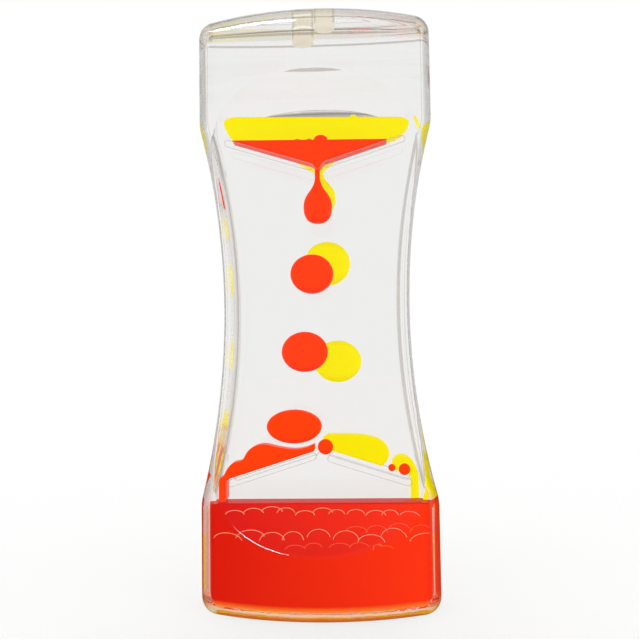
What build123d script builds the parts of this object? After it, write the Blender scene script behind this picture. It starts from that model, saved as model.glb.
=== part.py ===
from build123d import *
import os
from math import atan2, cos, degrees, radians, sqrt, tan

# A liquid motion timer. A clear waisted block holds two chambers, one behind the other. In each, drops of dyed
# water fall through clear oil from the ramps near the top to the ramps near the bottom.
# Millimetres, +Z up, the front faces -Y, and the origin is the middle of the base.

os.makedirs("parts", exist_ok=True)

# Block, outer sizes
height = 140.0
end_width = 55.0
waist_width = 42.9
bulge_depth = 32.0  # front to back in the middle of an end
side_depth = 18.0  # front to back at the sides, before the corners are rounded
waist_depth = 21.5  # between the two flat windows
shoulder_height = 26.0  # from an end to where the waist begins
shoulder_round = 12.0
corner_round = 3.4  # the upright corners
end_round = 4.5  # the edges round both ends
scoop_radius = 26.0  # hollow between a window and the bulged end
scoop_height = 30.7  # from an end to where the hollow runs into the window
ridge_round = 1.2  # the edge round each window
wall = 2.6
inner_round = 0.9  # the corners inside

# Divider between the chambers
divider_thickness = 1.6
divider_seat = 1.2  # how far its rim reaches into the shells
rim_clearance = 0.1

# Ramps
ramp_thickness = 1.6
ramp_slope = 17.5  # degrees
ramp_end_height = 30.0  # from an end to the outer end of its ramps
return_gap = 2.6  # between a ramp and the side wall
nozzle_gap = 2.6
nozzle_x = 0.8

# Fill plugs
plug_diameter = 4.5
plug_length = 4.0
plug_sink = 0.4  # below the face of the end
plug_clearance = 0.05
plug_chamfer = 0.5
plug_x = 2.6  # to the right in front, to the left at the back
plug_y = 6.4

# Liquids
film = 0.2  # oil between a liquid and what it touches
oil_gap = 0.45  # drawn in from each liquid where the oil begins
drop_clearance = 0.45  # between a falling drop and the two faces beside it
drop_round = 2.2
upper_red_left = 29.4  # below the top, at the left end of the pool
upper_red_right = 30.1  # at the right end
upper_yellow_level = 22.4
lower_red_level = 25.6  # above the base
lower_yellow_level = 17.0
pool_bulge = 0.6  # how far the upper yellow pool swells past the ramps' ends
pool_shift = 0.4  # to the right
pool_end = 2.8  # how far in from there its rounded ends begin
neck_radius = 0.6
red_neck_length = 3.2
yellow_neck_length = 0.8
pool_lift = 1.7  # oil under the upper yellow pool, at its deepest
run_clear = 0.6  # between a run and the side wall

# Falling drops: centre from the axis, share of the way from mid-height to the upper nozzle, width and height
red_high = (-1.1, 0.258, 10.1, 9.2)
red_low = (-3.0, -0.288, 10.8, 9.4)
yellow_high = (2.3, 0.351, 11.1, 10.6)
yellow_low = (4.5, -0.357, 11.4, 10.0)
# The drop at rest on the red mound: distance from the nozzle, centre above the ramp, width and height
red_resting = (5.2, 7.1, 12.8, 7.8)

# Drops that still hang from a nozzle: radius and length below the ramp
red_hanging_radius = 3.4
red_hanging_length = 12.9
yellow_hanging_radius = 3.3
yellow_hanging_length = 9.4
red_hanging_shift = -0.3  # from the nozzle's middle
yellow_hanging_shift = 0.45
yellow_lean = 0.5  # outward for each step down, where its neck ends

# Liquid on the lower ramps: distance from the nozzle and height above the ramp, along the top
red_mound_tops = [
    (0.4, 1.7),
    (5.8, 2.2),
    (9.7, 4.1),
    (12.2, 5.4),
    (14.7, 5.6),
    (16.5, 4.4),
    (17.4, 3.3),
    (19.0, 3.5),
    (20.6, 2.7),
    (21.7, 0.9),
]
yellow_mound_tops = [
    (-1.6, 1.4),
    (-0.9, 3.0),
    (2.6, 4.5),
    (6.2, 5.6),
    (9.7, 6.2),
    (12.5, 6.0),
    (14.2, 4.4),
    (14.1, 2.3),
    (12.8, 0.5),
]
yellow_run_tops = [(14.9, 0.8), (15.3, 2.5), (16.7, 3.9), (18.5, 4.2), (20.0, 3.2), (20.8, 1.4)]
nozzle_bead = 1.8  # radius of the red bead over the lower nozzle
nozzle_bead_shift = 0.7  # to the right of the nozzle's middle
ramp_beads = [(0.85, 14.7), (1.35, 17.6)]  # radius and distance along the right ramp
pool_beads = [(0.9, 9.2), (0.6, 12.0)]  # radius of yellow beads and their distance right of the axis

# Worked out from the sizes above
mid = height / 2
end_half = end_width / 2
waist_half = waist_width / 2
bulge_half = bulge_depth / 2
window_half = waist_depth / 2
bulge_sag = (bulge_depth - side_depth) / 2
bulge_radius = (end_half**2 + bulge_sag**2) / (2 * bulge_sag)
waist_sag = end_half - waist_half
waist_radius = (waist_sag**2 + (mid - shoulder_height) ** 2) / (2 * waist_sag)
divider_half = divider_thickness / 2
chamber_middle = (divider_half + window_half - wall) / 2
chamber_depth = window_half - wall - divider_half
drop_depth = chamber_depth - 2 * drop_clearance
slope = tan(radians(ramp_slope))
ramp_rise = ramp_thickness / 2 / cos(radians(ramp_slope))  # from a ramp's middle line straight up to its face
FRONT = -1
BACK = 1
LEFT = -1
RIGHT = 1
chamber_names = {FRONT: "front", BACK: "back"}
hand_names = {LEFT: "left", RIGHT: "right"}


def inner_half_width(z):
    """Half the width inside the walls at a height between the shoulders."""
    return waist_half - wall + waist_radius - sqrt(waist_radius**2 - (z - mid) ** 2)


ramp_reach = inner_half_width(ramp_end_height) - return_gap


def ramp_middle(x, hand):
    """Height of a lower ramp's middle line, which falls away from the nozzle."""
    run = hand * (x - nozzle_x) - nozzle_gap / 2
    full_run = ramp_reach - hand * nozzle_x - nozzle_gap / 2
    return ramp_end_height + (full_run - run) * slope


def ramp_floor(x, hand):
    """Height just above a lower ramp, where liquid lies on it."""
    return ramp_middle(x, hand) + ramp_rise + film


def upper_floor(x, hand):
    """Height just above an upper ramp, which is a lower ramp turned over."""
    return height - ramp_middle(x, hand) + ramp_rise + film


def silhouette(inset, corner=0.0):
    """The block's outline seen from the front, drawn in by inset."""
    low = shoulder_height
    high = height - shoulder_height
    with BuildSketch(Plane.XZ) as outline:
        with BuildLine():
            Polyline((-end_half, low), (-end_half, 0), (end_half, 0), (end_half, low))
            ThreePointArc((end_half, low), (waist_half, mid), (end_half, high))
            Polyline((end_half, high), (end_half, height), (-end_half, height), (-end_half, high))
            ThreePointArc((-end_half, high), (-waist_half, mid), (-end_half, low))
        make_face()
        fillet(outline.vertices().sort_by(Axis.Y)[2:6], shoulder_round)
        if inset:
            offset(amount=-inset, kind=Kind.INTERSECTION)
        if corner:
            corners = outline.vertices().sort_by(Axis.Y)
            fillet(corners[:2] + corners[-2:], corner)
    return outline.sketch


def block_form(inset, ridge=0.0):
    """The whole block as one solid, with every face drawn in by inset."""
    outline = silhouette(inset)
    with BuildPart() as form:
        extrude(outline, amount=bulge_depth, both=True)
        with BuildSketch():
            with Locations((0, bulge_half - bulge_radius)):
                Circle(bulge_radius - inset)
            with Locations((0, bulge_radius - bulge_half)):
                Circle(bulge_radius - inset, mode=Mode.INTERSECT)
        extrude(amount=height, mode=Mode.INTERSECT)
        uprights = form.edges().filter_by(lambda edge: edge.bounding_box().size.Z > ridge_round)
        fillet(uprights, max(corner_round - inset, inner_round))
        ends = form.faces().filter_by(Plane.XY).sort_by(Axis.Z)
        fillet(ends[0].edges() + ends[-1].edges(), end_round - inset)
        with BuildSketch(Plane.YZ):
            for side in (FRONT, BACK):
                hollow_y = side * (window_half + scoop_radius)
                with Locations((hollow_y, scoop_height), (hollow_y, height - scoop_height)):
                    Circle(scoop_radius + inset)
                with Locations((side * (window_half - inset + bulge_half), mid)):
                    Rectangle(bulge_depth, height - 2 * scoop_height)
        extrude(amount=end_width, both=True, mode=Mode.SUBTRACT)
        if ridge:
            fillet(form.edges(Select.NEW).filter_by(Axis.X, reverse=True), ridge)
    return form.part


outer_form = block_form(0, ridge_round)
cavity_form = block_form(wall)
inside_form = block_form(wall + film)
rim_outline = silhouette(wall - divider_seat, end_round - wall + divider_seat)
seat_inset = wall - divider_seat - rim_clearance
seat_outline = silhouette(seat_inset, end_round - seat_inset)

# The two half shells, each with its window, half of the divider's seat and a filling hole
for side in (FRONT, BACK):
    name = chamber_names[side] + "_shell"
    with BuildPart() as shell:
        add(outer_form)
        add(cavity_form, mode=Mode.SUBTRACT)
        extrude(seat_outline, amount=divider_half, both=True, mode=Mode.SUBTRACT)
        split(bisect_by=Plane.XZ, keep=Keep.TOP if side == FRONT else Keep.BOTTOM)
        with BuildSketch(Plane.XY.offset(height)):
            with Locations((-side * plug_x, side * plug_y)):
                Circle(plug_diameter / 2 + plug_clearance)
        extrude(amount=-plug_length, mode=Mode.SUBTRACT)
    shell.part.label = name
    export_step(shell.part, f"parts/{name}.step")

# The clear plate between the chambers, held by its rim in the seats of both shells
with BuildPart() as divider_plate:
    extrude(rim_outline, amount=divider_half, both=True)
divider_plate.part.label = "divider_plate"
export_step(divider_plate.part, "parts/divider_plate.step")

# The room inside each chamber, a film's width clear of its walls
chambers = {}
for side in (FRONT, BACK):
    with BuildPart() as chamber:
        add(inside_form)
        split(
            bisect_by=Plane.XZ.offset(-side * (divider_half + film)),
            keep=Keep.TOP if side == FRONT else Keep.BOTTOM,
        )
    chambers[side] = chamber.part


def ramp_outline(upper, hand, grow=0.0):
    """A ramp's rounded strip seen from the front."""
    inner_x = nozzle_x + hand * (nozzle_gap + ramp_thickness) / 2
    outer_x = hand * (ramp_reach - ramp_thickness / 2)
    inner_z = ramp_middle(inner_x, hand)
    outer_z = ramp_middle(outer_x, hand)
    if upper:
        inner_z = height - inner_z
        outer_z = height - outer_z
    turn = degrees(atan2(outer_z - inner_z, outer_x - inner_x))
    length = sqrt((outer_x - inner_x) ** 2 + (outer_z - inner_z) ** 2)
    with BuildSketch(Plane.XZ) as outline:
        with Locations(((inner_x + outer_x) / 2, (inner_z + outer_z) / 2)):
            SlotCenterToCenter(length, ramp_thickness + 2 * grow, rotation=turn)
    return outline.sketch


# The ramps that guide the liquids, two at each end of each chamber
for side in (FRONT, BACK):
    for upper in (False, True):
        for hand in (LEFT, RIGHT):
            level = "upper" if upper else "lower"
            name = f"{level}_{chamber_names[side]}_{hand_names[hand]}_ramp"
            strip = ramp_outline(upper, hand)
            with BuildPart() as ramp:
                extrude(strip, amount=-side * bulge_depth)
                add(chambers[side], mode=Mode.INTERSECT)
            ramp.part.label = name
            export_step(ramp.part, f"parts/{name}.step")

# The soft plugs in the filling holes
for side in (FRONT, BACK):
    name = chamber_names[side] + "_fill_plug"
    with BuildPart() as plug:
        with BuildSketch(Plane.XY.offset(height - plug_sink)):
            with Locations((-side * plug_x, side * plug_y)):
                Circle(plug_diameter / 2)
        extrude(amount=-plug_length)
        chamfer(plug.edges().sort_by(Axis.Z)[0], plug_chamfer)
    plug.part.label = name
    export_step(plug.part, f"parts/{name}.step")


def hanging_x(side):
    """Where a hanging drop's axis stands."""
    return nozzle_x + (red_hanging_shift if side == FRONT else yellow_hanging_shift)


def along_ramp(hand, distance, rise):
    """A point at a distance from the nozzle along a lower ramp and at a height above it."""
    x = nozzle_x + hand * (nozzle_gap / 2 + distance)
    return (x, ramp_floor(x, hand) + rise)


neck_top = height - ramp_middle(nozzle_x - nozzle_gap / 2, LEFT)
left_lip = (nozzle_x - nozzle_gap / 2, upper_floor(nozzle_x - nozzle_gap / 2, LEFT))
right_lip = (nozzle_x + nozzle_gap / 2, upper_floor(nozzle_x + nozzle_gap / 2, RIGHT))


def spout(side, grow=0.0):
    """The straight edges of an upper pool that lead down into its nozzle."""
    x = hanging_x(side)
    foot = neck_top + film - grow
    Polyline(
        (left_lip[0], left_lip[1] - grow),
        (x - neck_radius - grow, foot),
        (x + neck_radius + grow, foot),
        (right_lip[0], right_lip[1] - grow),
    )


# Red liquid waiting above the front nozzle
red_left = (left_lip[0] - (height - upper_red_left - left_lip[1]) / slope, height - upper_red_left)
red_right = (right_lip[0] + (height - upper_red_right - right_lip[1]) / slope, height - upper_red_right)
with BuildSketch(Plane.XZ) as upper_red_outline:
    with BuildLine():
        spout(FRONT)
        Polyline(right_lip, red_right, red_left, left_lip)
    make_face()
with BuildPart() as upper_red_pool:
    extrude(upper_red_outline.sketch, amount=bulge_depth)
    add(chambers[FRONT], mode=Mode.INTERSECT)
upper_red_pool.part.label = "upper_red_pool"
export_step(upper_red_pool.part, "parts/upper_red_pool.step")

# Yellow liquid above the back nozzle, which swells over the ramps' outer ends
yellow_level = height - upper_yellow_level
yellow_end = upper_floor(ramp_reach, RIGHT)
yellow_foot = (ramp_reach - pool_end, upper_floor(ramp_reach - pool_end, RIGHT) + pool_lift)


def upper_yellow_shape(grow=0.0):
    """The upper yellow pool seen from the front."""
    foot = yellow_foot[1] - grow
    lift_x = ramp_reach / 4
    lift_z = upper_floor(lift_x, RIGHT) + pool_lift
    with BuildSketch(Plane.XZ) as outline:
        with BuildLine():
            spout(BACK, grow)
            for hand, lip in ((LEFT, left_lip), (RIGHT, right_lip)):
                foot_x = pool_shift + hand * yellow_foot[0]
                swell = (pool_shift + hand * (ramp_reach + pool_bulge + grow), (yellow_end + yellow_level) / 2)
                rim = (pool_shift + hand * (ramp_reach - pool_end), yellow_level + grow)
                Polyline((lip[0], lip[1] - grow), (hand * lift_x, lift_z - grow), (foot_x, foot))
                Spline((foot_x, foot), swell, rim, tangents=[(hand, 0), (-hand, 0)])
                Line(rim, (pool_shift, rim[1]))
        make_face()
    return outline.sketch


upper_yellow_outline = upper_yellow_shape()
with BuildPart() as upper_yellow_pool:
    extrude(upper_yellow_outline, amount=-bulge_depth)
    add(chambers[BACK], mode=Mode.INTERSECT)
upper_yellow_pool.part.label = "upper_yellow_pool"
export_step(upper_yellow_pool.part, "parts/upper_yellow_pool.step")


def hanging_profile(side, radius, length, neck, lean, grow=0.0):
    """Half of a drop that hangs from its nozzle by a neck, which leans outward where it ends."""
    x = hanging_x(side)
    bottom = neck_top - length
    widest = (x + radius + grow, bottom + 1.2 * radius)
    shoulder = (x + neck_radius + grow, neck_top - neck / 2)
    with BuildSketch(Plane.XZ.offset(-side * chamber_middle)) as profile:
        with BuildLine():
            Polyline((x, bottom - grow), (x, neck_top + grow), (x + neck_radius + grow, neck_top + grow), shoulder)
            Spline(shoulder, widest, tangents=[(lean, -1), (0, -1)])
            Spline(widest, (x, bottom - grow), tangents=[(0, -1), (-1, 0)])
        make_face()
    return profile.sketch


def hanging_axis(side):
    """The upright axis of a hanging drop."""
    return Axis((hanging_x(side), side * chamber_middle, 0), (0, 0, 1))


red_hanging = (red_hanging_radius, red_hanging_length, red_neck_length, 0)
red_hanging_half = hanging_profile(FRONT, *red_hanging)
with BuildPart() as hanging_red_drop:
    revolve(red_hanging_half, axis=hanging_axis(FRONT))
hanging_red_drop.part.label = "hanging_red_drop"
export_step(hanging_red_drop.part, "parts/hanging_red_drop.step")

yellow_hanging = (yellow_hanging_radius, yellow_hanging_length, yellow_neck_length, yellow_lean)
yellow_hanging_half = hanging_profile(BACK, *yellow_hanging)
with BuildPart() as hanging_yellow_drop:
    revolve(yellow_hanging_half, axis=hanging_axis(BACK))
hanging_yellow_drop.part.label = "hanging_yellow_drop"
export_step(hanging_yellow_drop.part, "parts/hanging_yellow_drop.step")


# The falling drops, and the red one that has come to rest on the mound, between the divider and the window,
# which flatten them
fall_room = neck_top - mid
drops = {"red_resting_drop": (along_ramp(LEFT, *red_resting[:2]), red_resting[2:], FRONT)}
for name, (x, share, width, tall), side in (
    ("red_drop_high", red_high, FRONT),
    ("red_drop_low", red_low, FRONT),
    ("yellow_drop_high", yellow_high, BACK),
    ("yellow_drop_low", yellow_low, BACK),
):
    drops[name] = ((x, mid + share * fall_room), (width, tall), side)
for name, (centre, (width, tall), side) in drops.items():
    with BuildPart() as falling_drop:
        with BuildSketch(Plane.XZ.offset(-side * chamber_middle)):
            with Locations(centre):
                Ellipse(width / 2, tall / 2)
        extrude(amount=drop_depth / 2, both=True)
        fillet(falling_drop.edges().filter_by(GeomType.ELLIPSE), drop_round)
    falling_drop.part.label = name
    export_step(falling_drop.part, f"parts/{name}.step")


def mound_shape(hand, tops, grow=0.0):
    """Liquid that lies on a lower ramp, seen from the front."""
    with BuildSketch(Plane.XZ) as outline:
        for shift, lift in ((-grow, grow), (grow, grow), (grow, 0)) if grow else ((0, 0),):
            crest = [along_ramp(hand, distance + shift, rise + lift) for distance, rise in tops]
            with BuildLine():
                Spline(*crest)
                Polyline(
                    crest[0],
                    along_ramp(hand, tops[0][0] + shift, -grow),
                    along_ramp(hand, tops[-1][0] + shift, -grow),
                    crest[-1],
                )
            make_face()
    return outline.sketch


def run_shape(hand, tops, level, grow=0.0):
    """Liquid that lies on a lower ramp, runs over its end and down beside the wall to a level."""
    crest = [along_ramp(hand, distance, rise + grow) for distance, rise in tops]
    corners = [along_ramp(hand, tops[0][0] - grow, rise) for rise in (tops[0][1] + grow, -grow)]
    if grow:
        corners.insert(0, crest[0])
    edge_x = hand * (ramp_reach + film - grow)
    wall_x = hand * (inner_half_width(ramp_end_height) + (wall if grow else -run_clear))
    corners += [
        (edge_x, ramp_floor(hand * ramp_reach, hand) - grow),
        (edge_x, level + film),
        (wall_x, level + film),
        (wall_x, crest[-1][1]),
        crest[-1],
    ]
    with BuildSketch(Plane.XZ) as outline:
        with BuildLine():
            Polyline(*corners)
            Spline(*crest)
        make_face()
    return outline.sketch


# Red liquid on the left ramp, which runs over the ramp's end and down to the pool
red_mound_outline = run_shape(LEFT, red_mound_tops, lower_red_level)
with BuildPart() as red_mound:
    extrude(red_mound_outline, amount=bulge_depth)
    add(chambers[FRONT], mode=Mode.INTERSECT)
red_mound.part.label = "red_mound"
export_step(red_mound.part, "parts/red_mound.step")

# Yellow liquid on the right ramp
yellow_mound_outline = mound_shape(RIGHT, yellow_mound_tops)
with BuildPart() as yellow_mound:
    extrude(yellow_mound_outline, amount=-bulge_depth)
    add(chambers[BACK], mode=Mode.INTERSECT)
yellow_mound.part.label = "yellow_mound"
export_step(yellow_mound.part, "parts/yellow_mound.step")

# Yellow liquid that runs over the right ramp's end and down the side wall
yellow_run_outline = run_shape(RIGHT, yellow_run_tops, lower_yellow_level)
with BuildPart() as yellow_run:
    extrude(yellow_run_outline, amount=-bulge_depth)
    add(chambers[BACK], mode=Mode.INTERSECT)
yellow_run.part.label = "yellow_run"
export_step(yellow_run.part, "parts/yellow_run.step")


def bead_centre(radius, distance):
    """The middle of a bead that lies on the front right ramp."""
    x, z = along_ramp(RIGHT, distance, radius / cos(radians(ramp_slope)))
    return (x, -chamber_middle, z)


# Beads that have not run together: red over the lower nozzle and on the right ramp, yellow on its upper pool
beads = {
    FRONT: [(radius, bead_centre(radius, distance)) for radius, distance in ramp_beads],
    BACK: [(radius, (x, chamber_middle, yellow_level + film + radius)) for radius, x in pool_beads],
}
bead_x = nozzle_x + nozzle_bead_shift
bead_z = ramp_middle(nozzle_x, RIGHT) + nozzle_bead
beads[FRONT].append((nozzle_bead, (bead_x, -chamber_middle, bead_z)))
for side, name in ((FRONT, "red_beads"), (BACK, "yellow_beads")):
    with BuildPart() as bead_row:
        for radius, centre in beads[side]:
            with Locations(centre):
                Sphere(radius)
    bead_row.part.label = name
    export_step(bead_row.part, f"parts/{name}.step")

# The pools that have gathered in the lower end
with BuildSketch(Plane.XZ) as lower_red_outline:
    Rectangle(2 * end_width, lower_red_level, align=(Align.CENTER, Align.MIN))
with BuildPart() as lower_red_pool:
    extrude(lower_red_outline.sketch, amount=bulge_depth)
    add(chambers[FRONT], mode=Mode.INTERSECT)
lower_red_pool.part.label = "lower_red_pool"
export_step(lower_red_pool.part, "parts/lower_red_pool.step")

with BuildSketch(Plane.XZ) as lower_yellow_outline:
    Rectangle(2 * end_width, lower_yellow_level, align=(Align.CENTER, Align.MIN))
with BuildPart() as lower_yellow_pool:
    extrude(lower_yellow_outline.sketch, amount=-bulge_depth)
    add(chambers[BACK], mode=Mode.INTERSECT)
lower_yellow_pool.part.label = "lower_yellow_pool"
export_step(lower_yellow_pool.part, "parts/lower_yellow_pool.step")


def round_outline(x, z, width, tall):
    """The outline of a drop or bead with its gap round it, seen from the front."""
    with BuildSketch(Plane.XZ) as outline:
        with Locations((x, z)):
            Ellipse(width / 2 + oil_gap, tall / 2 + oil_gap)
    return outline.sketch


# The clear oil that fills each chamber round its ramps, its plug and its liquids. Drops touch both faces beside
# them but for a film, so the oil is open in front of and behind them.
oil_outlines = {
    FRONT: [
        offset(upper_red_outline.sketch, oil_gap),
        run_shape(LEFT, red_mound_tops, lower_red_level, oil_gap),
        offset(lower_red_outline.sketch, oil_gap),
    ],
    BACK: [
        upper_yellow_shape(oil_gap),
        mound_shape(RIGHT, yellow_mound_tops, oil_gap),
        run_shape(RIGHT, yellow_run_tops, lower_yellow_level, oil_gap),
        offset(lower_yellow_outline.sketch, oil_gap),
    ],
}
hanging_halves = {
    FRONT: hanging_profile(FRONT, *red_hanging, oil_gap),
    BACK: hanging_profile(BACK, *yellow_hanging, oil_gap),
}
for side in (FRONT, BACK):
    name = "carrier_oil_" + chamber_names[side]
    holes = oil_outlines[side]
    holes += [ramp_outline(upper, hand, film) for upper in (False, True) for hand in (LEFT, RIGHT)]
    holes += [round_outline(*centre, *sizes) for centre, sizes, where in drops.values() if where == side]
    holes += [round_outline(x, z, 2 * radius, 2 * radius) for radius, (x, _, z) in beads[side]]
    half = hanging_halves[side]
    with BuildPart() as oil:
        add(chambers[side])
        for outline in holes:
            extrude(outline, amount=-side * bulge_depth, mode=Mode.SUBTRACT)
        for outline in (half, half.mirror(Plane.YZ.offset(hanging_x(side)))):
            extrude(outline, amount=bulge_half, both=True, mode=Mode.SUBTRACT)
        with BuildSketch(Plane.XY.offset(height)):
            with Locations((-side * plug_x, side * plug_y)):
                Circle(plug_diameter / 2 + film)
        extrude(amount=-plug_sink - plug_length - film, mode=Mode.SUBTRACT)
        trapped = oil.solids().sort_by(SortBy.VOLUME)[:-1]
        if trapped:
            add(trapped, mode=Mode.SUBTRACT)
    oil.part.label = name
    export_step(oil.part, f"parts/{name}.step")
    print(name, "left out", [round(piece.volume, 2) for piece in trapped], "kept", round(oil.part.volume))
print("ramps reach", round(ramp_reach, 2), "and the nozzles stand at", round(ramp_middle(nozzle_x, RIGHT), 2))
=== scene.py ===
# %% [markdown]
# # Liquid motion timer
# A clear waisted block stands on a white table. Inside it are two chambers, one behind the other, and in each of
# them drops of dyed water fall through clear oil. The front chamber holds red and the back one yellow.
# The CAD model gives every piece its place and size. This script gives the pieces the look of the photograph.

# %% Load the frame
import math

import bmesh
import bpy
from mathutils import Matrix, Vector
from mathutils.bvhtree import BVHTree


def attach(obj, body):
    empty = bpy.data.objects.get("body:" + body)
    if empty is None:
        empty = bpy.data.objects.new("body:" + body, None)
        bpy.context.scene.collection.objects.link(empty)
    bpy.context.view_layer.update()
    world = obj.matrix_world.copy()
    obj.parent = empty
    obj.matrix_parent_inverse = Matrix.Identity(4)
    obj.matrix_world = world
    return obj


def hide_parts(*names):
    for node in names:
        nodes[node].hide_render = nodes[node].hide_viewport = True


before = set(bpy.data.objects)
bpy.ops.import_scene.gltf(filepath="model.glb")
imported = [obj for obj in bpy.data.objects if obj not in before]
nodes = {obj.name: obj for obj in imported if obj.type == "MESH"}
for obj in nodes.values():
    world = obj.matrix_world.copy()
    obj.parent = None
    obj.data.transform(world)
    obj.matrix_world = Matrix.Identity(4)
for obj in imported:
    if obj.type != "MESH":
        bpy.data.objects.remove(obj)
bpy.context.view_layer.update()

scene = bpy.context.scene
MM = 0.001
print("CAD nodes:", len(nodes))

# %% [markdown]
# ## Colours
# Colours are picked as they look on a screen and turned into linear light, which is what shaders work with.


# %% Colour helper
def screen(red, green, blue):
    """A colour as it looks on a screen, from 0 to 255, as linear light."""
    def linear(value):
        value = value / 255
        return value / 12.92 if value <= 0.04045 else ((value + 0.055) / 1.055) ** 2.4
    return (linear(red), linear(green), linear(blue), 1.0)


white = (1, 1, 1, 1)
print("a middle grey on screen is", round(screen(128, 128, 128)[0], 3), "in linear light")

# %% [markdown]
# ## Helpers for node trees
# A look is a graph of nodes, and the same few kinds of node come up again and again: a product, a value that follows
# another between two limits, a mix of two colours. Short functions make them. Each takes plain values or the outputs
# of other nodes.


# %% Starting a tree and filling its sockets
def new_group(name, kind, inputs, result, result_kind):
    """An empty node group with named inputs and one result. Gives the group, its inputs and the result's socket."""
    group = bpy.data.node_groups.new(name, kind)
    for socket, socket_kind in inputs:
        group.interface.new_socket(socket, in_out="INPUT", socket_type="NodeSocket" + socket_kind)
    group.interface.new_socket(result, in_out="OUTPUT", socket_type="NodeSocket" + result_kind)
    given = group.nodes.new("NodeGroupInput").outputs
    return group, given, group.nodes.new("NodeGroupOutput").inputs[result]


def feed(tree, socket, value):
    """Sets a socket to a plain value, or links it to the output of another node."""
    if isinstance(value, bpy.types.NodeSocket):
        tree.links.new(value, socket)
    else:
        socket.default_value = value


# %% Values and colours
def worked_out(tree, operation, *values):
    """One value worked out from others."""
    node = tree.nodes.new("ShaderNodeMath")
    node.operation = operation
    for socket, value in zip(node.inputs, values):
        feed(tree, socket, value)
    return node.outputs[0]


def product(tree, *values):
    """Values multiplied with each other."""
    total = values[0]
    for value in values[1:]:
        total = worked_out(tree, "MULTIPLY", total, value)
    return total


def follow(tree, source, low, high, at_low=0.0, at_high=1.0):
    """A value that goes from one level to another as the source goes from low to high."""
    node = tree.nodes.new("ShaderNodeMapRange")
    names = ("Value", "From Min", "From Max", "To Min", "To Max")
    for name, value in zip(names, (source, low, high, at_low, at_high)):
        feed(tree, node.inputs[name], value)
    return node.outputs["Result"]


def blend(tree, factor, first, second, kind="RGBA"):
    """A mix of two colours, or of two plain values if the kind is FLOAT."""
    node = tree.nodes.new("ShaderNodeMix")
    node.data_type = kind
    first_socket, second_socket, result = {"FLOAT": (2, 3, 0), "RGBA": (6, 7, 2)}[kind]
    feed(tree, node.inputs["Factor"], factor)
    feed(tree, node.inputs[first_socket], first)
    feed(tree, node.inputs[second_socket], second)
    return node.outputs[result]


def along_axes(tree, vector):
    """The X, Y and Z of a vector."""
    node = tree.nodes.new("ShaderNodeSeparateXYZ")
    tree.links.new(vector, node.inputs[0])
    return node.outputs


# %% Materials
def glowing(colour, roughness, gloss, glow):
    """Settings for a surface that gives off a little of its own colour, as painted light."""
    return {
        "Base Color": colour, "Roughness": roughness, "Specular IOR Level": gloss,
        "Emission Color": colour, "Emission Strength": glow,
    }


def new_material(name, settings):
    """A material with some sockets of its main shader set. Gives the material, its tree and the shader."""
    material = bpy.data.materials.new(name)
    material.use_nodes = True
    tree = material.node_tree
    shader = tree.nodes["Principled BSDF"]
    for socket, value in settings.items():
        shader.inputs[socket].default_value = value
    return material, tree, shader


def show_instead(tree, shader, other, when):
    """Shows another shader in place of the main one to the rays that a value picks out."""
    mix = tree.nodes.new("ShaderNodeMixShader")
    tree.links.new(when, mix.inputs["Fac"])
    tree.links.new(shader.outputs[0], mix.inputs[1])
    tree.links.new(other.outputs[0], mix.inputs[2])
    tree.links.new(mix.outputs["Shader"], tree.nodes["Material Output"].inputs["Surface"])


# %% [markdown]
# ## Clear acrylic
# The shells are clear plastic, and light bends where it passes from air into them. The oil inside bends light
# almost as much as the plastic does, so the inner faces of the real shells can hardly be seen. The same holds here:
# outer faces have acrylic's index, and inner faces have an index close to one.
# Faces seen at a slant, rounded corners and the rounded upper end are given a grey colour: painted shade.
# The side walls beside the lower pools are painted with the pools' colour, red in front and amber at the back, and the
# base is painted orange: painted light, for light from the pools that runs along the walls. A node group works out
# where that happens, from a spot's place and from which way its face looks.
# A texture could hold these painted colours instead, but a group follows the form and serves the outer and inner faces
# alike.
# Rays that carry light to other surfaces pass straight through, so the liquids inside are lit evenly.

# %% Wall glow group
# Each pair is where a colour begins and where it is full.
corner_depth = (0.05, 0.15)  # how much a corner looks forward or back
end_height = (0.75, 0.85)  # how much the rounded end looks up
end_depth = (0.15, 0.3)  # how much the rounded end looks forward or back
at_upper_end = (133 * MM, 135 * MM)
at_back = (-0.5 * MM, 0.5 * MM)
beside_pools = (30 * MM, 24 * MM)
in_side_walls = (23.5 * MM, 25.5 * MM)
in_base = (3.4 * MM, 2.2 * MM)


def painted_wall_group():
    """A group that gives the colour of the clear walls, with painted shade in corners and at the upper end, and painted
    light: the pools' colour in the side walls beside them and orange in the base.
    """
    colours = ("Clear", "Corner", "End", "Front Glow", "Back Glow", "Base Glow")
    inputs = [(name, "Color") for name in colours] + [("Corner From", "Float"), ("Corner To", "Float")]
    group, given, result = new_group("wall painted light and shade", "ShaderNodeTree", inputs, "Colour", "Color")
    spot = group.nodes.new("ShaderNodeTexCoord")
    place = along_axes(group, spot.outputs["Object"])
    looks = along_axes(group, spot.outputs["Normal"])
    sideways, frontways, upward = (worked_out(group, "ABSOLUTE", looks[axis]) for axis in "XYZ")
    off_axis = worked_out(group, "ABSOLUTE", place["X"])

    # Painted shade: grey in rounded corners and on the rounded upper end.
    corner = follow(group, sideways, given["Corner From"], given["Corner To"])
    corner = product(group, corner, follow(group, frontways, *corner_depth))
    colour = blend(group, corner, given["Clear"], given["Corner"])
    end = product(group, follow(group, upward, *end_height), follow(group, frontways, *end_depth))
    end = product(group, end, follow(group, place["Z"], *at_upper_end))
    colour = blend(group, end, colour, given["End"])
    # Painted light: the pools' colours in the side walls beside them, and orange in the base.
    glow = blend(group, follow(group, place["Y"], *at_back), given["Front Glow"], given["Back Glow"])
    beside = product(group, follow(group, place["Z"], *beside_pools), follow(group, off_axis, *in_side_walls))
    colour = blend(group, beside, colour, glow)
    colour = blend(group, follow(group, place["Z"], *in_base), colour, given["Base Glow"])
    group.links.new(colour, result)
    return group


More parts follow.
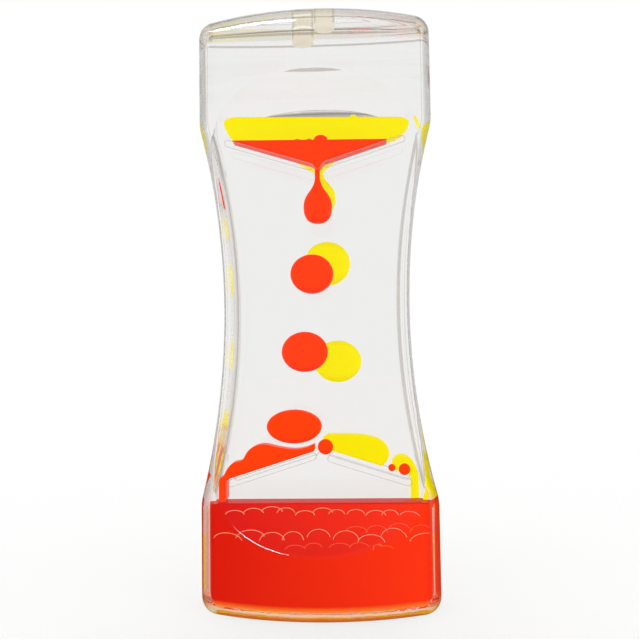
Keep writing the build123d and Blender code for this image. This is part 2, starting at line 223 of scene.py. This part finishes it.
wall_painted_light_and_shade = painted_wall_group()
print("wall painted light and shade nodes:", len(wall_painted_light_and_shade.nodes))

# %% Clear materials
slanted = (0.22, 0.7)  # how much a face turns from the eye where the edge colour begins and where it is full
hardly_dimmed = (0.97, 0.97, 0.965, 1)


def clear_material(name, index, tint, walls=None, edge=None):
    """Glass that bends camera light by an index and lets shadow and diffuse light straight through."""
    settings = {"Roughness": 0.0, "IOR": index, "Transmission Weight": 1.0}
    material, tree, glass = new_material(name, settings)
    colour = tint
    if walls:
        glow = tree.nodes.new("ShaderNodeGroup")
        glow.node_tree = wall_painted_light_and_shade
        for socket in glow.inputs:
            socket.default_value = walls.get(socket.name, tint)
        colour = glow.outputs["Colour"]
    # Painted shade: faces seen at a slant are blended toward a dark edge colour.
    if edge:
        facing = tree.nodes.new("ShaderNodeLayerWeight")
        colour = blend(tree, follow(tree, facing.outputs["Facing"], *slanted), colour, edge)
    feed(tree, glass.inputs["Base Color"], colour)
    path = tree.nodes.new("ShaderNodeLightPath")
    through = tree.nodes.new("ShaderNodeBsdfTransparent")
    through.inputs["Color"].default_value = hardly_dimmed
    lights_others = worked_out(tree, "MAXIMUM", path.outputs["Is Shadow Ray"], path.outputs["Is Diffuse Ray"])
    show_instead(tree, glass, through, lights_others)
    return material


# %% Clear materials for the outer faces, the inner faces and the ramps
# Corner and End are painted shade; the glows are painted light from the pools in the side walls and the base.
outer_walls = {
    "Corner From": 0.43, "Corner To": 0.62,
    "Corner": (0.58, 0.57, 0.555, 1), "End": (0.84, 0.835, 0.82, 1),
    "Front Glow": (0.72, 0.16, 0.13, 1), "Back Glow": (0.86, 0.66, 0.4, 1), "Base Glow": (0.94, 0.56, 0.32, 1),
}
inner_walls = {
    "Corner From": 0.75, "Corner To": 0.85,
    "Corner": (0.7, 0.67, 0.645, 1), "End": (0.44, 0.4, 0.36, 1),
}
acrylic = clear_material("clear acrylic", 1.49, (0.88, 0.88, 0.865, 1), outer_walls, (0.3, 0.29, 0.285, 1))
wetted = clear_material("acrylic wetted by oil", 1.001, white, inner_walls)
sheet = clear_material("acrylic sheet in oil", 1.0005, white)
print("clear materials:", acrylic.name, wetted.name, sheet.name)

# %% [markdown]
# ## Smooth copies of the CAD pieces
# A CAD mesh is made of separate faces that only touch, so light would break at every one of them. A copy with its
# doubled points merged can be shaded smoothly, and edges that turn by more than a set angle stay sharp.
# The block could be modelled again for the picture, but then it might not fit its CAD pieces.


# %% Copying a piece
def bake(piece, name):
    """The piece with its modifiers made part of its mesh."""
    baked = bpy.data.meshes.new_from_object(piece.evaluated_get(bpy.context.evaluated_depsgraph_get()))
    piece.modifiers.clear()
    old = piece.data
    piece.data = baked
    bpy.data.meshes.remove(old)
    baked.name = name
    return piece


def merged_copy(node, sharp=35):
    """A copy of a CAD node's mesh with its points merged. Edges that turn by more degrees than a number stay sharp."""
    mesh = nodes[node].data.copy()
    mesh.name = node + "_look"
    mesh.materials.clear()
    work = bmesh.new()
    work.from_mesh(mesh)
    bmesh.ops.remove_doubles(work, verts=work.verts, dist=0.001 * MM)
    bmesh.ops.recalc_face_normals(work, faces=work.faces)
    work.to_mesh(mesh)
    work.free()
    mesh.shade_smooth()
    mesh.set_sharp_from_angle(angle=math.radians(sharp))
    piece = bpy.data.objects.new(node + "_look", mesh)
    scene.collection.objects.link(piece)
    flat = piece.modifiers.new("flat faces stay flat", "WEIGHTED_NORMAL")
    flat.mode = "FACE_AREA"
    flat.weight = 100
    flat.keep_sharp = True
    return bake(piece, mesh.name)


def settle(piece, body, slot, *stands_for):
    """Puts a finished piece on its CAD body and takes the place of CAD nodes."""
    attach(piece, body)
    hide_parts(*stands_for)
    return piece


# %% [markdown]
# ## The two half shells
# Each shell is one moulding. Its outer faces get the acrylic material. Faces that look into the chamber, and the
# flat rims where the halves are cemented, get the material that hardly bends light.
# A ray sent out from an inner face along its normal meets the far wall, and one from an outer face meets nothing.
# Two glass faces in the same place would trap light between them, so a hair's breadth is left at the seam.

# %% Shells
seam = 0.02 * MM
at_seam = 0.001 * MM
rim_looks = 0.9  # a rim looks at least this much forward or back
rim_within = 1.0 * MM
ray_start, ray_length = 0.02 * MM, 200 * MM

shells = {side: merged_copy(side + "_shell", sharp=30) for side in ("front", "back")}
both = bmesh.new()
for piece in shells.values():
    both.from_mesh(piece.data)
both_shells = BVHTree.FromBMesh(both)
for side, piece in shells.items():
    mesh = piece.data
    for point in mesh.vertices:
        if abs(point.co.y) < at_seam:
            point.co.y = seam if side == "back" else -seam
    mesh.materials.append(acrylic)
    mesh.materials.append(wetted)
    inner = 0
    for face in mesh.polygons:
        rim = abs(face.normal.y) > rim_looks and abs(face.center.y) < rim_within
        start = face.center + face.normal * ray_start
        if rim or both_shells.ray_cast(start, face.normal, ray_length)[0] is not None:
            face.material_index = 1
            inner += 1
    settle(piece, "timer", "clear_shell", side + "_shell", "carrier_oil_" + side)
    print(side, "shell faces:", len(mesh.polygons), "of them inner:", inner)
both.free()

# %% [markdown]
# ## Divider and ramps
# These are clear sheet, drowned in oil. Only thin lines along their edges give them away, because a cut edge is
# never quite sharp or quite clear. Edges that are cemented to the divider don't show.
# There are eight ramps with the same kind of edge, so one Geometry Nodes tree finds the edges that turn sharply and
# lays a hair-thin line along each. It could also be done with a bevel, but a bevel that small would still be clear
# and would hardly show.


# %% Lines on a piece
def lay_lines(tree, given, curves, result):
    """Ends a tree: a thin round line along each curve, in its own material, joined to the piece."""
    section = tree.nodes.new("GeometryNodeCurvePrimitiveCircle")
    section.inputs["Resolution"].default_value = 6
    sweep = tree.nodes.new("GeometryNodeCurveToMesh")
    sweep.inputs["Fill Caps"].default_value = True
    real = tree.nodes.new("GeometryNodeRealizeInstances")
    paint = tree.nodes.new("GeometryNodeSetMaterial")
    join = tree.nodes.new("GeometryNodeJoinGeometry")
    link = tree.links.new
    link(given["Line Radius"], section.inputs["Radius"])
    link(curves, sweep.inputs["Curve"])
    link(section.outputs["Curve"], sweep.inputs["Profile Curve"])
    link(sweep.outputs["Mesh"], real.inputs["Geometry"])
    link(real.outputs["Geometry"], paint.inputs["Geometry"])
    link(given["Line Material"], paint.inputs["Material"])
    link(given["Geometry"], join.inputs["Geometry"])
    link(paint.outputs["Geometry"], join.inputs["Geometry"])
    link(join.outputs["Geometry"], result)


def run_tree(piece, tree, values):
    """Runs a Geometry Nodes tree on a piece, with its named inputs set, and makes the result its mesh."""
    nodes_step = piece.modifiers.new(tree.name, "NODES")
    nodes_step.node_group = tree
    for socket in tree.interface.items_tree:
        if socket.in_out == "INPUT" and socket.name in values:
            nodes_step[socket.identifier] = values[socket.name]
    return bake(piece, piece.data.name)


# %% Edge line tree
def edge_line_tree():
    """A tree that adds a thin line along each sharp edge of a mesh that lies off the divider."""
    inputs = (
        ("Geometry", "Geometry"), ("Least Angle", "Float"), ("Least Depth", "Float"),
        ("Line Radius", "Float"), ("Line Material", "Material"),
    )
    tree, given, result = new_group("edge lines", "GeometryNodeTree", inputs, "Geometry", "Geometry")

    def above(value, least):
        node = tree.nodes.new("FunctionNodeCompare")
        node.data_type = "FLOAT"
        node.operation = "GREATER_THAN"
        tree.links.new(value, node.inputs[0])
        tree.links.new(least, node.inputs[1])
        return node.outputs["Result"]

    angle = tree.nodes.new("GeometryNodeInputMeshEdgeAngle")
    where = tree.nodes.new("GeometryNodeInputPosition")
    depth = worked_out(tree, "ABSOLUTE", along_axes(tree, where.outputs["Position"])["Y"])
    shown = tree.nodes.new("FunctionNodeBooleanMath")
    lines = tree.nodes.new("GeometryNodeMeshToCurve")
    tree.links.new(above(angle.outputs["Unsigned Angle"], given["Least Angle"]), shown.inputs[0])
    tree.links.new(above(depth, given["Least Depth"]), shown.inputs[1])
    tree.links.new(given["Geometry"], lines.inputs["Mesh"])
    tree.links.new(shown.outputs[0], lines.inputs["Selection"])
    lay_lines(tree, given, lines.outputs["Curve"], result)
    return tree


edge_lines = edge_line_tree()
print("edge line tree nodes:", len(edge_lines.nodes))


# %% Divider and ramps
def hairline(name, colour):
    """The thin line of a cut edge."""
    return new_material(name, {"Base Color": colour, "Roughness": 0.6})[0]


cut_edge = {"Line Radius": 0.05 * MM, "Line Material": hairline("cut edge of clear sheet", screen(196, 170, 160))}
fine_edge = {
    "Line Radius": 0.035 * MM, "Line Material": hairline("finer cut edge of clear sheet", screen(245, 240, 236)),
}
sharp_edges = {"Least Angle": math.radians(50), "Least Depth": 4 * MM}
thinned = Matrix.Diagonal((1, 0.95, 1, 1))  # the divider, so that it touches neither shell
clear_plates = [node for node in nodes if node.endswith("_ramp") or node == "divider_plate"]
for node in clear_plates:
    piece = merged_copy(node)
    if node == "divider_plate":
        piece.data.materials.append(wetted)
        piece.data.transform(thinned)
    else:
        piece.data.materials.append(sheet)
        edge = fine_edge if node.startswith("upper_back") else cut_edge
        run_tree(piece, edge_lines, {**sharp_edges, **edge})
    settle(piece, "timer", "clear_plate", node)
print("clear plates:", len(clear_plates))

# %% [markdown]
# ## Dyed water
# The drops look flat and bright, because light reaches them from every side. A little of the colour is given off
# as light, to stand in for what the white room and the clear block send in from all round. Tinted glass would be
# closer to real water, but it would show the room bent inside each drop, which the photograph doesn't.
# Each liquid also has painted shade and light in its colour: its underside is painted deeper, or orange in the lower
# pools, a face that looks up is painted deeper, and the wide lower pool is darker on the left. One shader node group
# works that out for all of them.

# %% Liquid tone group
# Each pair is where a tone begins and where it is full.
from_left_to_right = (-24 * MM, 24 * MM)
looks_down = (-0.35, -0.95)
looks_up = (0.35, 0.95)


def painted_liquid_group():
    """A group that paints shade and light into a liquid's colour from which way its face looks, and changes it from
    left to right.
    """
    inputs = [(name, "Color") for name in ("Left", "Right", "Under", "Above")]
    group, given, result = new_group("liquid painted light and shade", "ShaderNodeTree", inputs, "Colour", "Color")
    place = group.nodes.new("ShaderNodeTexCoord")
    shape = group.nodes.new("ShaderNodeNewGeometry")
    across = along_axes(group, place.outputs["Object"])["X"]
    upward = along_axes(group, shape.outputs["Normal"])["Z"]
    colour = given["Left"]
    # Painted shade and light: faces that look down or up take the Under or Above colour.
    for name, source, limits in (
        ("Right", across, from_left_to_right), ("Under", upward, looks_down), ("Above", upward, looks_up),
    ):
        colour = blend(group, follow(group, source, *limits), colour, given[name])
    group.links.new(colour, result)
    return group


liquid_painted_light_and_shade = painted_liquid_group()
print("liquid painted light and shade nodes:", len(liquid_painted_light_and_shade.nodes))

# %% Liquid materials
painted_grey_glow = (0.8, 0.79, 0.77, 1)


def liquid_material(name, left, right, under, above, mirrored=painted_grey_glow, mirrors=1.5):
    """An even, saturated liquid. Diffuse rays, and rays mirrored in the block more often than a number, see a painted
    glow instead of the dye.
    """
    settings = {"Roughness": 0.35, "Specular IOR Level": 0.05, "Emission Strength": 0.3}
    material, tree, dye = new_material(name, settings)
    tone = tree.nodes.new("ShaderNodeGroup")
    tone.node_tree = liquid_painted_light_and_shade
    for socket, colour in zip(tone.inputs, (left, right, under, above)):
        socket.default_value = colour
    tree.links.new(tone.outputs["Colour"], dye.inputs["Base Color"])
    tree.links.new(tone.outputs["Colour"], dye.inputs["Emission Color"])
    # Painted light: diffuse rays see a grey glow, and rays mirrored more often than the number see a painted reflection
    # colour.
    path = tree.nodes.new("ShaderNodeLightPath").outputs
    painted_glow = tree.nodes.new("ShaderNodeEmission")
    tree.links.new(blend(tree, path["Is Diffuse Ray"], mirrored, painted_grey_glow), painted_glow.inputs["Color"])
    often = worked_out(tree, "GREATER_THAN", path["Glossy Depth"], mirrors)
    show_instead(tree, dye, painted_glow, worked_out(tree, "MAXIMUM", often, path["Is Diffuse Ray"]))
    return material


# %% Red and yellow water
# After the left and right dye colours, under and above are painted shade on faces that look down or up, and orange
# painted light under the lower pools. A pool's last colour is its painted reflection.
red_tone = screen(252, 56, 0)
yellow_tone = screen(247, 231, 0)
yellow_underside_painted_shade = screen(238, 220, 0)
red = liquid_material("red water", red_tone, red_tone, screen(236, 44, 8), red_tone, mirrors=6)
yellow = liquid_material(
    "yellow water",
    yellow_tone, yellow_tone, yellow_underside_painted_shade, screen(240, 222, 0), mirrors=6,
)
upper_yellow = liquid_material(
    "yellow water in the upper pool",
    yellow_tone, yellow_tone, yellow_underside_painted_shade, screen(206, 186, 10), mirrors=0.5,
)
pool_red = liquid_material(
    "red water in the pool",
    screen(208, 4, 0), screen(244, 44, 10), screen(250, 120, 30), screen(200, 10, 8), screen(222, 130, 120),
)
pool_yellow = liquid_material(
    "yellow water in the lower pool",
    yellow_tone, yellow_tone, screen(250, 160, 40), yellow_tone, screen(236, 170, 110), mirrors=0.5,
)
print("liquid materials:", red.name, yellow.name, upper_yellow.name, pool_red.name, pool_yellow.name)

# %% [markdown]
# ## Round edges on the liquids
# Surface tension leaves no sharp edge on a liquid. Each piece is rebuilt from small even cells and then relaxed,
# which rounds its edges and leaves its place as it was. A bevel would round single edges, but not the places where
# a drop runs into a pool.
# The upper yellow pool isn't level in the photograph: its top is higher on the left, and its ends draw in lower down.


# %% Round edges
def relaxed(node, cell, rounds, bumps=()):
    """A liquid piece with its edges rounded by surface tension, and with drops that are just running into it."""
    piece = merged_copy(node, sharp=180)
    work = bmesh.new()
    work.from_mesh(piece.data)
    for radius, x, y, z in bumps:
        place = Matrix.Translation(Vector((x, y, z)) * MM)
        bmesh.ops.create_uvsphere(work, u_segments=24, v_segments=16, radius=radius * MM, matrix=place)
    work.to_mesh(piece.data)
    work.free()
    remesh = piece.modifiers.new("cells", "REMESH")
    remesh.mode = "VOXEL"
    remesh.voxel_size = cell * MM
    remesh.use_smooth_shade = True
    smooth = piece.modifiers.new("tension", "SMOOTH")
    smooth.factor = 0.5
    smooth.iterations = rounds
    return bake(piece, node + "_look")


def share(value, low, high):
    """How far a value has come from low to high, from 0 to 1."""
    return min(max((value - low) / (high - low), 0.0), 1.0)


def tilt_and_taper(points):
    """Raises a pool's top, more on the left than on the right, and draws its lower ends in."""
    raised, tilt, drawn_in = 0.8 * MM, 0.03, 2.4 * MM
    top = max(point.co.z for point in points)
    for point in points:
        depth = top - point.co.z
        near_top = share(depth, 4 * MM, 1 * MM)
        near_end = share(abs(point.co.x), 17 * MM, 22 * MM)
        lower_down = share(depth, 1.5 * MM, 6 * MM)
        point.co.z += near_top * (raised - tilt * point.co.x)
        point.co.x -= math.copysign(drawn_in * near_end * lower_down, point.co.x)


# %% [markdown]
# ## Rims in the lower pool
# Drops that have fallen into the pool lie against its front for a while before they run together. A film of oil
# between them shows as rows of pale arcs, like fish scales; here they are lines with a painted highlight colour and a
# little glow. A Geometry Nodes tree sets arcs along a row, each with a size and place of its own, and presses them onto
# the pool's front with rays.

# %% Globule rim tree
arc_start, arc_sweep = math.radians(8), math.radians(164)
in_front = 60 * MM  # rays set out from this far in front of the pool


def rim_tree():
    """A tree that adds a row of thin arcs to the front of a pool."""
    inputs = (
        ("Geometry", "Geometry"), ("Row Start", "Vector"), ("Row End", "Vector"), ("Count", "Int"), ("Size", "Vector"),
        ("Unevenness", "Float"), ("Seed", "Int"), ("Line Radius", "Float"), ("Line Material", "Material"),
    )
    tree, given, result = new_group("globule rims", "GeometryNodeTree", inputs, "Geometry", "Geometry")
    link = tree.links.new

    # points along the row
    row = tree.nodes.new("GeometryNodeCurvePrimitiveLine")
    points = tree.nodes.new("GeometryNodeCurveToPoints")
    link(given["Row Start"], row.inputs["Start"])
    link(given["Row End"], row.inputs["End"])
    link(row.outputs["Curve"], points.inputs["Curve"])
    link(given["Count"], points.inputs["Count"])

    # a chance vector for each of them
    chance = tree.nodes.new("FunctionNodeRandomValue")
    chance.data_type = "FLOAT_VECTOR"
    chance.inputs["Min"].default_value = (-1, -1, -1)
    chance.inputs["Max"].default_value = (1, 1, 1)
    uneven = tree.nodes.new("ShaderNodeVectorMath")
    uneven.operation = "SCALE"
    link(given["Seed"], chance.inputs["Seed"])
    link(chance.outputs["Value"], uneven.inputs[0])
    link(given["Unevenness"], uneven.inputs["Scale"])

    # the points moved by chance, across and up
    drift = tree.nodes.new("ShaderNodeVectorMath")
    drift.operation = "MULTIPLY"
    upright = tree.nodes.new("ShaderNodeCombineXYZ")
    moved = tree.nodes.new("GeometryNodeSetPosition")
    spread = along_axes(tree, given["Size"])
    link(spread["X"], upright.inputs["X"])
    link(spread["Y"], upright.inputs["Z"])
    link(uneven.outputs["Vector"], drift.inputs[0])
    link(upright.outputs["Vector"], drift.inputs[1])
    link(points.outputs["Points"], moved.inputs["Geometry"])
    link(drift.outputs["Vector"], moved.inputs["Offset"])

    # an arc at each point, its size changed by chance
    arc = tree.nodes.new("GeometryNodeCurveArc")
    arc.inputs["Resolution"].default_value = 20
    arc.inputs["Radius"].default_value = 0.5
    arc.inputs["Start Angle"].default_value = arc_start
    arc.inputs["Sweep Angle"].default_value = arc_sweep
    grown = tree.nodes.new("ShaderNodeVectorMath")
    grown.operation = "MULTIPLY_ADD"
    set_out = tree.nodes.new("GeometryNodeInstanceOnPoints")
    set_out.inputs["Rotation"].default_value = (math.pi / 2, 0, 0)
    real = tree.nodes.new("GeometryNodeRealizeInstances")
    link(uneven.outputs["Vector"], grown.inputs[0])
    link(given["Size"], grown.inputs[1])
    link(given["Size"], grown.inputs[2])
    link(moved.outputs["Geometry"], set_out.inputs["Points"])
    link(arc.outputs["Curve"], set_out.inputs["Instance"])
    link(grown.outputs["Vector"], set_out.inputs["Scale"])
    link(set_out.outputs["Instances"], real.inputs["Geometry"])

    # arcs pressed onto the pool, and trimmed where there is no pool behind them
    where = tree.nodes.new("GeometryNodeInputPosition")
    before = tree.nodes.new("ShaderNodeVectorMath")
    before.inputs[1].default_value = (0, -in_front, 0)
    ray = tree.nodes.new("GeometryNodeRaycast")
    ray.inputs["Ray Direction"].default_value = (0, 1, 0)
    ray.inputs["Ray Length"].default_value = in_front
    missed = tree.nodes.new("FunctionNodeBooleanMath")
    missed.operation = "NOT"
    trim = tree.nodes.new("GeometryNodeDeleteGeometry")
    press = tree.nodes.new("GeometryNodeSetPosition")
    link(given["Geometry"], ray.inputs["Target Geometry"])
    link(where.outputs["Position"], before.inputs[0])
    link(before.outputs["Vector"], ray.inputs["Source Position"])
    link(ray.outputs["Is Hit"], missed.inputs[0])
    link(real.outputs["Geometry"], trim.inputs["Geometry"])
    link(missed.outputs[0], trim.inputs["Selection"])
    link(trim.outputs["Geometry"], press.inputs["Geometry"])
    link(ray.outputs["Hit Position"], press.inputs["Position"])
    lay_lines(tree, given, press.outputs["Geometry"], result)
    return tree


globule_rims = rim_tree()
print("globule rim tree nodes:", len(globule_rims.nodes))


# %% Rows of rims
def rim_material(name, colour):
    """A thin film of oil, pale and with a little glow: a painted highlight."""
    return new_material(name, glowing(colour, roughness=0.5, gloss=0.0, glow=0.2))[0]


def rim_row(start, end, count, width, tall, material):
    """The inputs for one row of rims, in millimetres from the axis and above the base."""
    return {
        "Row Start": (start[0] * MM, 0, start[1] * MM), "Row End": (end[0] * MM, 0, end[1] * MM), "Count": count,
        "Size": (width * MM, 2 * tall * MM, MM), "Unevenness": 0.18,
        "Line Radius": 0.08 * MM, "Line Material": material,
    }


bright_rim_highlight = rim_material("painted highlight on a bright film of oil", screen(244, 158, 124))
faint_rim_highlight = rim_material("painted highlight on a faint film of oil", screen(250, 92, 62))
rim_rows = [
    rim_row((-19.5, 23.4), (20.5, 22.7), 11, 4.2, 1.2, bright_rim_highlight),
    rim_row((-21.5, 17.4), (22.5, 17.6), 9, 5.8, 1.9, bright_rim_highlight),
    rim_row((8.0, 19.4), (22.5, 18.6), 4, 4.8, 1.6, faint_rim_highlight),
    rim_row((-5.5, 15.8), (14.0, 15.6), 5, 4.4, 1.1, faint_rim_highlight),
]
print("rows of rims:", len(rim_rows))

# %% [markdown]
# ## Which liquid is made how
# Round drops are used as they come from the CAD. Pools and mounds are rebuilt with round edges. The falling drops ride
# on bodies of their own, and all other liquids on the timer.

# %% Liquid pieces
round_drop = None
liquids = {  # the material, and the cell's size in millimetres with the rounds of relaxing
    "upper_red_pool": (red, (0.25, 6)),
    "hanging_red_drop": (red, round_drop),
    "red_drop_high": (red, round_drop),
    "red_drop_low": (red, round_drop),
    "red_resting_drop": (red, round_drop),
    "red_mound": (red, (0.25, 20)),
    "red_beads": (red, round_drop),
    "lower_red_pool": (pool_red, (0.35, 14)),
    "upper_yellow_pool": (upper_yellow, (0.3, 14)),
    "hanging_yellow_drop": (yellow, round_drop),
    "yellow_drop_high": (yellow, round_drop),
    "yellow_drop_low": (yellow, round_drop),
    "yellow_mound": (yellow, (0.25, 20)),
    "yellow_run": (yellow, (0.25, 20)),
    "yellow_beads": (yellow, round_drop),
    "lower_yellow_pool": (pool_yellow, (0.35, 8)),
}
falling = ("red_drop_high", "red_drop_low", "yellow_drop_high", "yellow_drop_low")
bumps = {  # radius and place of small drops on a pool, in millimetres
    "upper_red_pool": [(1.9, 1.4, -4.6, 110.1), (1.2, -1.4, -4.6, 109.9), (1.4, -4.2, -4.6, 109.7)],
}
stretched = {  # width, and a shift to the side in millimetres
    "lower_yellow_pool": (0.96, 0.0), "upper_yellow_pool": (1.04, -0.3),
}
for node, (material, rounding) in liquids.items():
    piece = relaxed(node, *rounding, bumps.get(node, ())) if rounding else merged_copy(node, sharp=40)
    piece.data.materials.append(material)
    if node in stretched:
        width, shift = stretched[node]
        piece.data.transform(Matrix.Translation((shift * MM, 0, 0)) @ Matrix.Diagonal((width, 1, 1, 1)))
    if node == "upper_yellow_pool":
        tilt_and_taper(piece.data.vertices)
    if node == "lower_red_pool":
        for seed, row in enumerate(rim_rows):
            run_tree(piece, globule_rims, {**row, "Seed": seed})
    body = node if node in falling else "timer"
    settle(piece, body, "red_liquid" if "red" in node else "yellow_liquid", node)
print("liquids:", len(liquids))

# %% [markdown]
# ## Fill plugs
# Two soft cream plugs close the holes that the chambers were filled through. They are matt and even, so one plain
# material is enough. A little glow, painted light, keeps them pale and even.

# %% Plugs
cream_with_painted_glow = glowing(screen(231, 223, 205), roughness=0.6, gloss=0.1, glow=0.18)
plug_material = new_material("cream plug", cream_with_painted_glow)[0]
plugs = ("front_fill_plug", "back_fill_plug")
for node in plugs:
    piece = merged_copy(node)
    piece.data.materials.append(plug_material)
    settle(piece, "timer", "plug", node)
print("plugs:", len(plugs))

# %% [markdown]
# ## The room
# The photograph's background is white paper, and the camera sees a white world. Lamps would leave spots on the block
# that the photograph doesn't have, so the world gives all the light.
# Light that the block bends steeply up or down sees grey, which draws the rounded ends. What the block mirrors is dark
# in front, but for a window to the left that leaves a bright line on the rim of the lower hollow.

# %% World
world = bpy.data.worlds.new("white room")
scene.world = world
world.use_nodes = True
tree = world.node_tree
background = tree.nodes["Background"]
background.inputs["Color"].default_value = white
path = tree.nodes.new("ShaderNodeLightPath").outputs
direction = along_axes(tree, tree.nodes.new("ShaderNodeTexCoord").outputs["Generated"])

steep = (0.75, 0.97)  # how much light goes up or down where the world begins to turn grey and where it is grey
full, grey = 1.0, 0.35
front_to_back = (-0.6, 0.3)
dark_front, bright_back = 0.2, 0.9
window_edges = (("X", -0.16, -0.24), ("X", -0.75, -0.65), ("Z", 0.46, 0.52), ("Z", 0.66, 0.6), ("Y", -0.2, -0.3))
window_strength = 55.0

seen_through = follow(tree, worked_out(tree, "ABSOLUTE", direction["Z"]), *steep, full, grey)
strength = blend(tree, path["Is Transmission Ray"], full, seen_through, "FLOAT")
mirrored = follow(tree, direction["Y"], *front_to_back, dark_front, bright_back)
window = product(tree, *(follow(tree, direction[axis], *edge) for axis, *edge in window_edges))
mirrored = blend(tree, window, mirrored, window_strength, "FLOAT")
reflected = product(tree, path["Is Glossy Ray"], path["Is Reflection Ray"])
strength = blend(tree, reflected, strength, mirrored, "FLOAT")
tree.links.new(strength, background.inputs["Strength"])
print("world nodes:", len(tree.nodes))

# %% [markdown]
# ## The floor
# The timer stands on white paper. In the block's mirror image the paper is a dim orange glow: a painted reflection,
# standing in for the paper close to the base lying in the light that comes through the dyed water.

# %% Floor
reach = 3.0
below_base = 0.1 * MM
painted_reflection_orange = (0.5, 0.18, 0.04, 1)

floor_mesh = bpy.data.meshes.new("floor")
corners = [(-reach, -reach, 0), (reach, -reach, 0), (reach, reach, 0), (-reach, reach, 0)]
floor_mesh.from_pydata(corners, [], [(0, 1, 2, 3)])
floor = bpy.data.objects.new("floor", floor_mesh)
floor.location.z = -below_base
scene.collection.objects.link(floor)
floor_material, tree, paper = new_material(
    "white paper", {"Base Color": white, "Roughness": 0.9, "Specular IOR Level": 0.0}
)
path = tree.nodes.new("ShaderNodeLightPath").outputs
painted_reflection = tree.nodes.new("ShaderNodeEmission")
painted_reflection.inputs["Color"].default_value = painted_reflection_orange
show_instead(tree, paper, painted_reflection, product(tree, path["Is Glossy Ray"], path["Is Reflection Ray"]))
floor_mesh.materials.append(floor_material)
print("floor material:", floor_material.name)

# %% [markdown]
# ## Camera
# The photograph was taken from close by, a little to the right and below mid-height, looking slightly up.
# What shows through the block depends on the camera's place, so it was fitted to the block's outline in the photograph.

# %% Camera
photo_width, sensor_width = 639, 36  # in pixels and in millimetres
focal = 777.7  # in pixels
distance, high, right_of = 0.18865, 0.05762, 0.00973  # in metres
pitch, yaw, roll = 0.05636, -0.05051, -0.01411  # in radians
bounces = 24

camera_data = bpy.data.cameras.new("camera")
camera = bpy.data.objects.new("camera", camera_data)
scene.collection.objects.link(camera)
scene.camera = camera
forward = Vector((math.sin(yaw) * math.cos(pitch), math.cos(yaw) * math.cos(pitch), math.sin(pitch)))
level_right = Vector((math.cos(yaw), -math.sin(yaw), 0))
level_up = level_right.cross(forward)
to_right = math.cos(roll) * level_right + math.sin(roll) * level_up
to_up = math.cos(roll) * level_up - math.sin(roll) * level_right
camera.matrix_world = Matrix((
    (to_right.x, to_up.x, -forward.x, right_of),
    (to_right.y, to_up.y, -forward.y, -distance),
    (to_right.z, to_up.z, -forward.z, high),
    (0, 0, 0, 1),
))
camera_data.sensor_width = sensor_width
camera_data.lens = focal / photo_width * sensor_width
camera_data.clip_start = 5 * MM
scene.view_settings.view_transform = "Standard"
scene.cycles.max_bounces = bounces
scene.cycles.transmission_bounces = bounces
scene.cycles.glossy_bounces = bounces
scene.cycles.transparent_max_bounces = bounces
print("lens:", round(camera_data.lens, 1), "mm")
